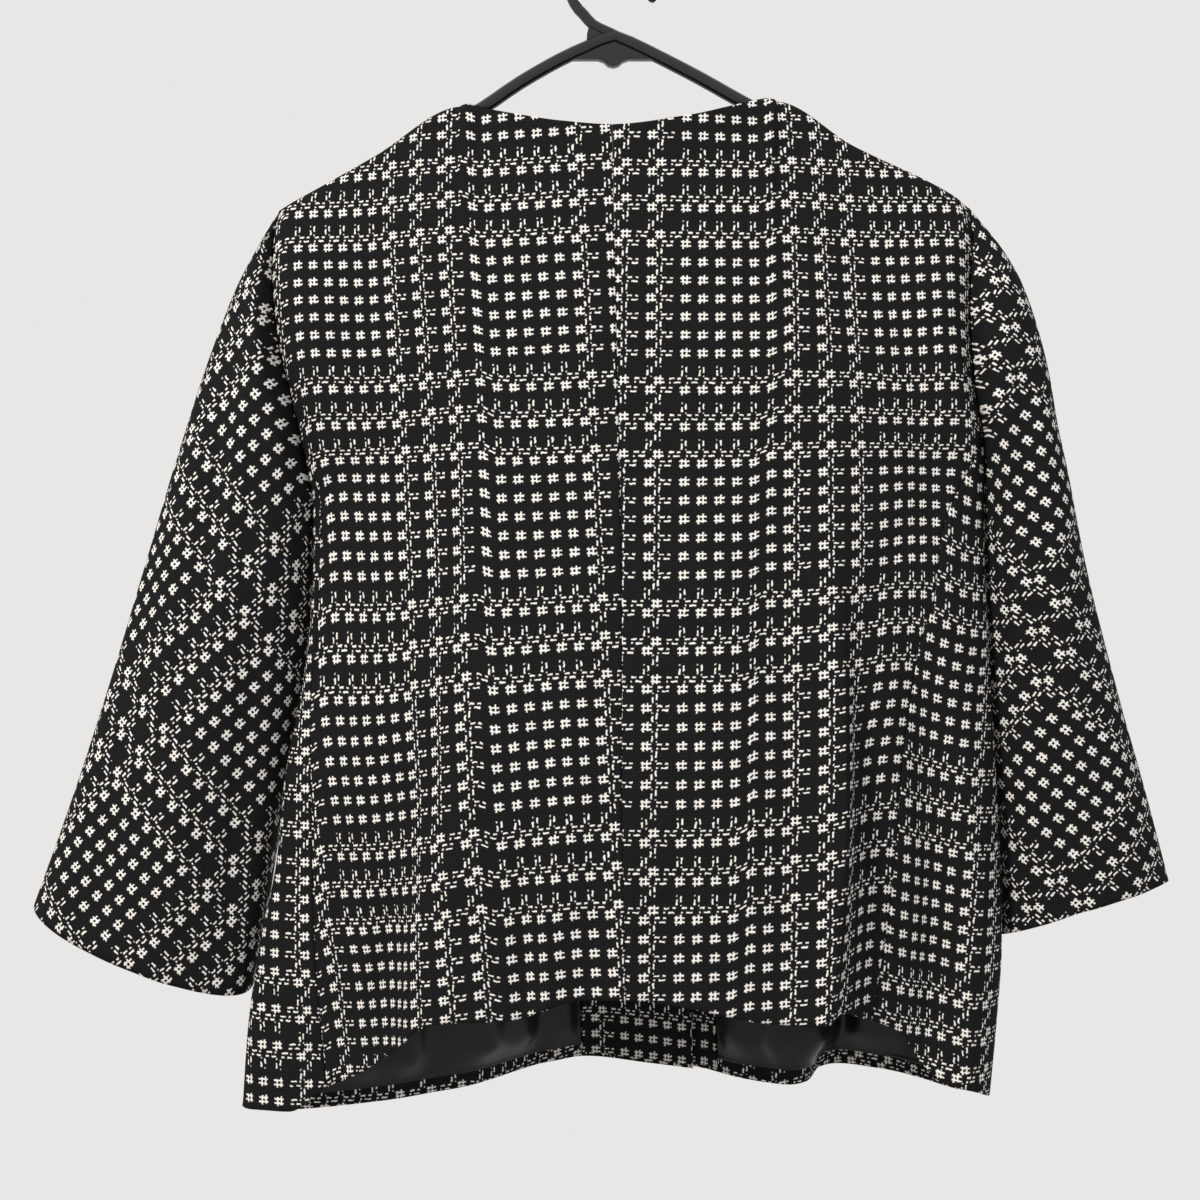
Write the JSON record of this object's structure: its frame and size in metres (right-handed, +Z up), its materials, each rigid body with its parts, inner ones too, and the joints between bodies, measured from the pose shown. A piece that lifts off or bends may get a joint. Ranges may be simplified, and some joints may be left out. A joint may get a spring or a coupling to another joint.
{
  "type": "cropped tweed jacket on a plastic hanger",
  "caption": "Boxy collarless cropped tweed jacket with wide three-quarter sleeves, hanging open-hemmed on a tubular plastic hanger.",
  "frame": {"origin": "inner top of the hanger's hook, where a rail or peg carries it", "axes": "+Z up; +Y the way the wearer would face, so the jacket's back faces -Y; +X the wearer's right"},
  "size_m": [0.7263, 0.1851, 0.7504],
  "materials": {
    "tweed": "black and off-white woven tweed",
    "satin": "black satin lining",
    "plastic": "black gloss"
  },
  "bodies": {
    "root": {"back_left": "tweed", "back_right": "tweed", "side_back_left": "tweed", "side_back_right": "tweed", "front_left": "tweed", "front_right": "tweed", "sleeve_left": "tweed", "sleeve_right": "tweed", "facing_left": "tweed", "facing_right": "tweed", "lining_left": "satin", "lining_right": "satin", "hanger": "plastic"}
  },
  "joints": []
}
